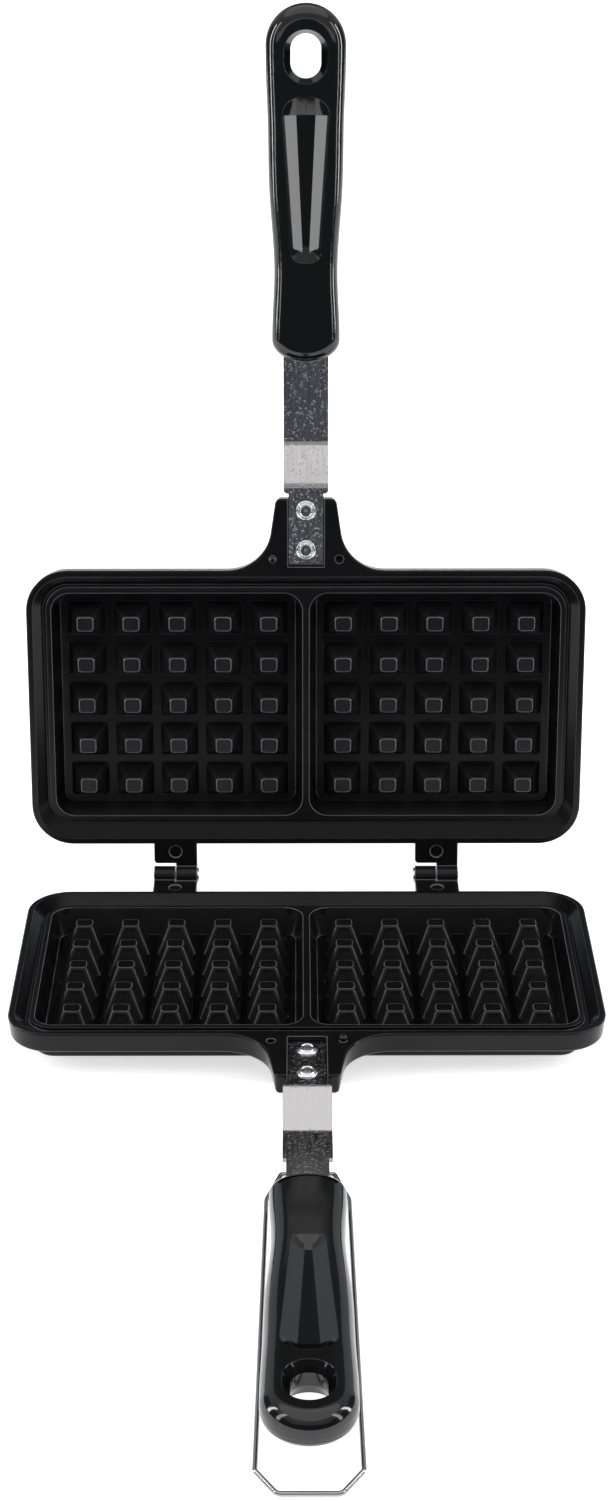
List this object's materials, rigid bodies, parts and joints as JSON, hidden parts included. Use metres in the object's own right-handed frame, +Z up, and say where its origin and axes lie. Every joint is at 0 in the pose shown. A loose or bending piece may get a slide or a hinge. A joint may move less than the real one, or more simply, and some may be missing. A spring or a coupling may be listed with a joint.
{
  "type": "stovetop waffle iron",
  "caption": "Hinged cast waffle iron for the hob, lid open, with studded cavities, riveted steel straps, moulded grips with thumb recess and hang slot, and a wire bail that locks it shut.",
  "frame": {"origin": "Centre of the flat underside of the lower plate's base. The iron leans back a little on that base's back edge and on the bail, so the floor is about 2 mm below the origin.", "axes": "+Z up; the handles point towards -Y from the plate; the hinge axis is parallel to +X, behind the plate."},
  "size_m": [0.2398, 0.4523, 0.3805],
  "materials": {
    "coated_casting": "cast aluminium with a satin black non-stick coating",
    "strap_steel": "satin stainless strip",
    "rivet_steel": "bright headed steel",
    "grip_phenolic": "glossy black phenolic moulding",
    "bail_wire": "bright drawn steel wire"
  },
  "bodies": {
    "lower_half": {"lower_plate": "coated_casting", "lower_strap": "strap_steel", "lower_plate_side_rivet": "rivet_steel", "lower_grip_side_rivet": "rivet_steel", "lower_grip": "grip_phenolic", "left_hinge_pin": "rivet_steel", "right_hinge_pin": "rivet_steel"},
    "lid": {"upper_plate": "coated_casting", "upper_strap": "strap_steel", "upper_plate_side_rivet": "rivet_steel", "upper_grip_side_rivet": "rivet_steel", "upper_grip": "grip_phenolic"},
    "bail": {"locking_bail": "bail_wire"}
  },
  "joints": [
    {"name": "lid_hinge", "type": "hinge", "parent": "lower_half", "child": "lid", "pos_m": [0, 0.07835, 0.01343], "axis": [1, 0, 0], "range_deg": [0, 96.4]},
    {"name": "bail_hinge", "type": "hinge", "parent": "lower_half", "child": "bail", "pos_m": [0, -0.13512, 0.00658], "axis": [-1, 0, 0], "range_deg": [0, 105]}
  ]
}
